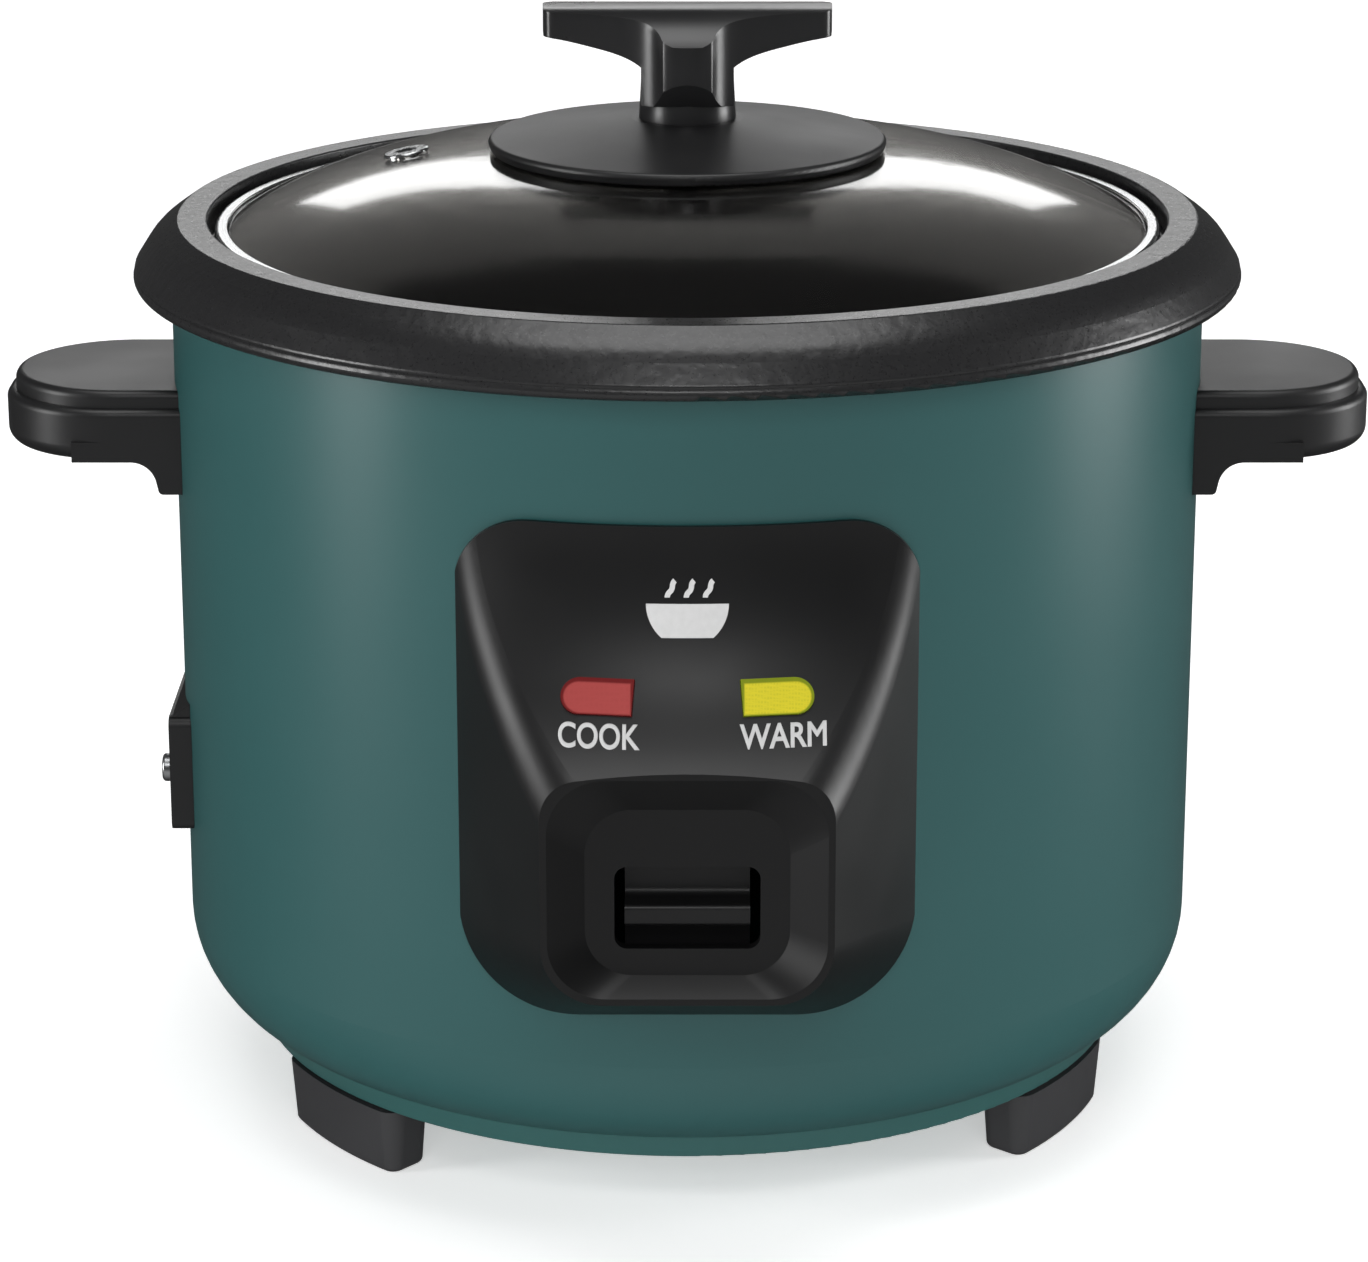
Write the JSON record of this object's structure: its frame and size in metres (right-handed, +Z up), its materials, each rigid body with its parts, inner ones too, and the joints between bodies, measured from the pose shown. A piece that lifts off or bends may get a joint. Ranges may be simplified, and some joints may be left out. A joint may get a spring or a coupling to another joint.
{
  "type": "rice cooker",
  "caption": "Drum rice cooker in dark teal paint with a lift-out non-stick pot, smoked glass lid, black side handles and a lever panel with two lamps.",
  "frame": {"origin": "On the counter under the middle of the drum, at the height of the bottoms of the feet, on the drum's axis.", "axes": "Z up; X to the right along the line of the two side handles; Y away from the control panel, so the panel faces -Y."},
  "size_m": [0.27, 0.2298, 0.218],
  "materials": {
    "teal_paint_steel": "satin",
    "cover_paint_steel": "satin",
    "liner_aluminium": "satin",
    "black_plastic": "satin",
    "panel_plastic": "satin",
    "inlet_plastic": "satin",
    "screw_steel": "satin",
    "zinc_steel": "satin",
    "spring_steel": "satin",
    "red_lens": "gloss",
    "yellow_lens": "gloss",
    "lamp_glass": "gloss",
    "board": "satin",
    "brass": "satin",
    "cast_aluminium": "satin",
    "mica_band": "matte",
    "silicone_sleeve": "matte",
    "sensor_aluminium": "satin",
    "ferrite": "matte",
    "nonstick_aluminium": "satin",
    "smoked_glass": "gloss",
    "stainless": "satin",
    "washer_rubber": "matte"
  },
  "bodies": {
    "base": {"base_plate": "cover_paint_steel", "base_screws": "screw_steel", "control_panel": "panel_plastic", "cook_lamp": "lamp_glass", "cook_lens": "red_lens", "foot_back_left": "black_plastic", "foot_back_right": "black_plastic", "foot_front_left": "black_plastic", "foot_front_right": "black_plastic", "foot_screws": "screw_steel", "handle_screws": "screw_steel", "heat_shield": "liner_aluminium", "heater_terminals": "brass", "heating_element": "cast_aluminium", "heating_plate": "cast_aluminium", "inlet_pins": "brass", "inlet_screws": "screw_steel", "inlet_socket": "inlet_plastic", "keep_warm_heater": "mica_band", "lamp_board": "board", "left_handle": "black_plastic", "lever_bracket": "zinc_steel", "lever_pin": "screw_steel", "magnet_spring": "spring_steel", "microswitch": "inlet_plastic", "outer_shell": "teal_paint_steel", "panel_screws": "screw_steel", "plate_posts": "zinc_steel", "plate_screws": "screw_steel", "right_handle": "black_plastic", "switch_contacts": "brass", "thermal_fuse": "silicone_sleeve", "thermostat_screws": "screw_steel", "thermostat_tube": "zinc_steel", "warm_lamp": "lamp_glass", "warm_lens": "yellow_lens", "wiring": "silicone_sleeve"},
    "inner_pot": {"inner_pot": "nonstick_aluminium"},
    "lid": {"glass_lid": "smoked_glass", "lid_rim": "stainless", "steam_vent": "stainless", "lid_disc": "black_plastic", "lid_knob": "black_plastic", "lid_washer": "washer_rubber", "lid_screw": "screw_steel"},
    "lever": {"cook_lever": "black_plastic", "lever_arm": "zinc_steel"},
    "magnet": {"magnet": "ferrite", "magnet_rod": "screw_steel"},
    "sensor": {"sensor_cap": "sensor_aluminium", "sensor_ferrite": "ferrite", "sensor_spring": "spring_steel"},
    "button": {"switch_button": "inlet_plastic"}
  },
  "joints": [
    {"name": "pot_lift", "type": "slide", "parent": "base", "child": "inner_pot", "axis": [0, 0, 1], "range_m": [0, 0.13]},
    {"name": "lid_lift", "type": "slide", "parent": "inner_pot", "child": "lid", "axis": [0, 0, 1], "range_m": [0, 0.12]},
    {"name": "cook_press", "type": "hinge", "parent": "base", "child": "lever", "pos_m": [0, -0.07, 0.036], "axis": [1, 0, 0], "range_deg": [0, 3.5], "stiffness_Nm_per_rad": 0.5, "springref_deg": -5.73},
    {"name": "magnet_rise", "type": "slide", "parent": "base", "child": "magnet", "axis": [0, 0, 1], "range_m": [0, 0.0045], "deforming": ["magnet_spring"]},
    {"name": "switch_follow", "type": "slide", "parent": "base", "child": "button", "axis": [0, 0, 1], "range_m": [0, 0.0012]},
    {"name": "sensor_rise", "type": "slide", "parent": "base", "child": "sensor", "axis": [0, 0, 1], "range_m": [0, 0.0025], "deforming": ["sensor_spring"]}
  ],
  "couplings": [
    {"joint": "magnet_rise", "follows": "cook_press", "m_per_rad": 0.0735},
    {"joint": "switch_follow", "follows": "cook_press", "m_per_rad": 0.019},
    {"joint": "sensor_rise", "follows": "pot_lift", "ratio": 0.0192}
  ]
}
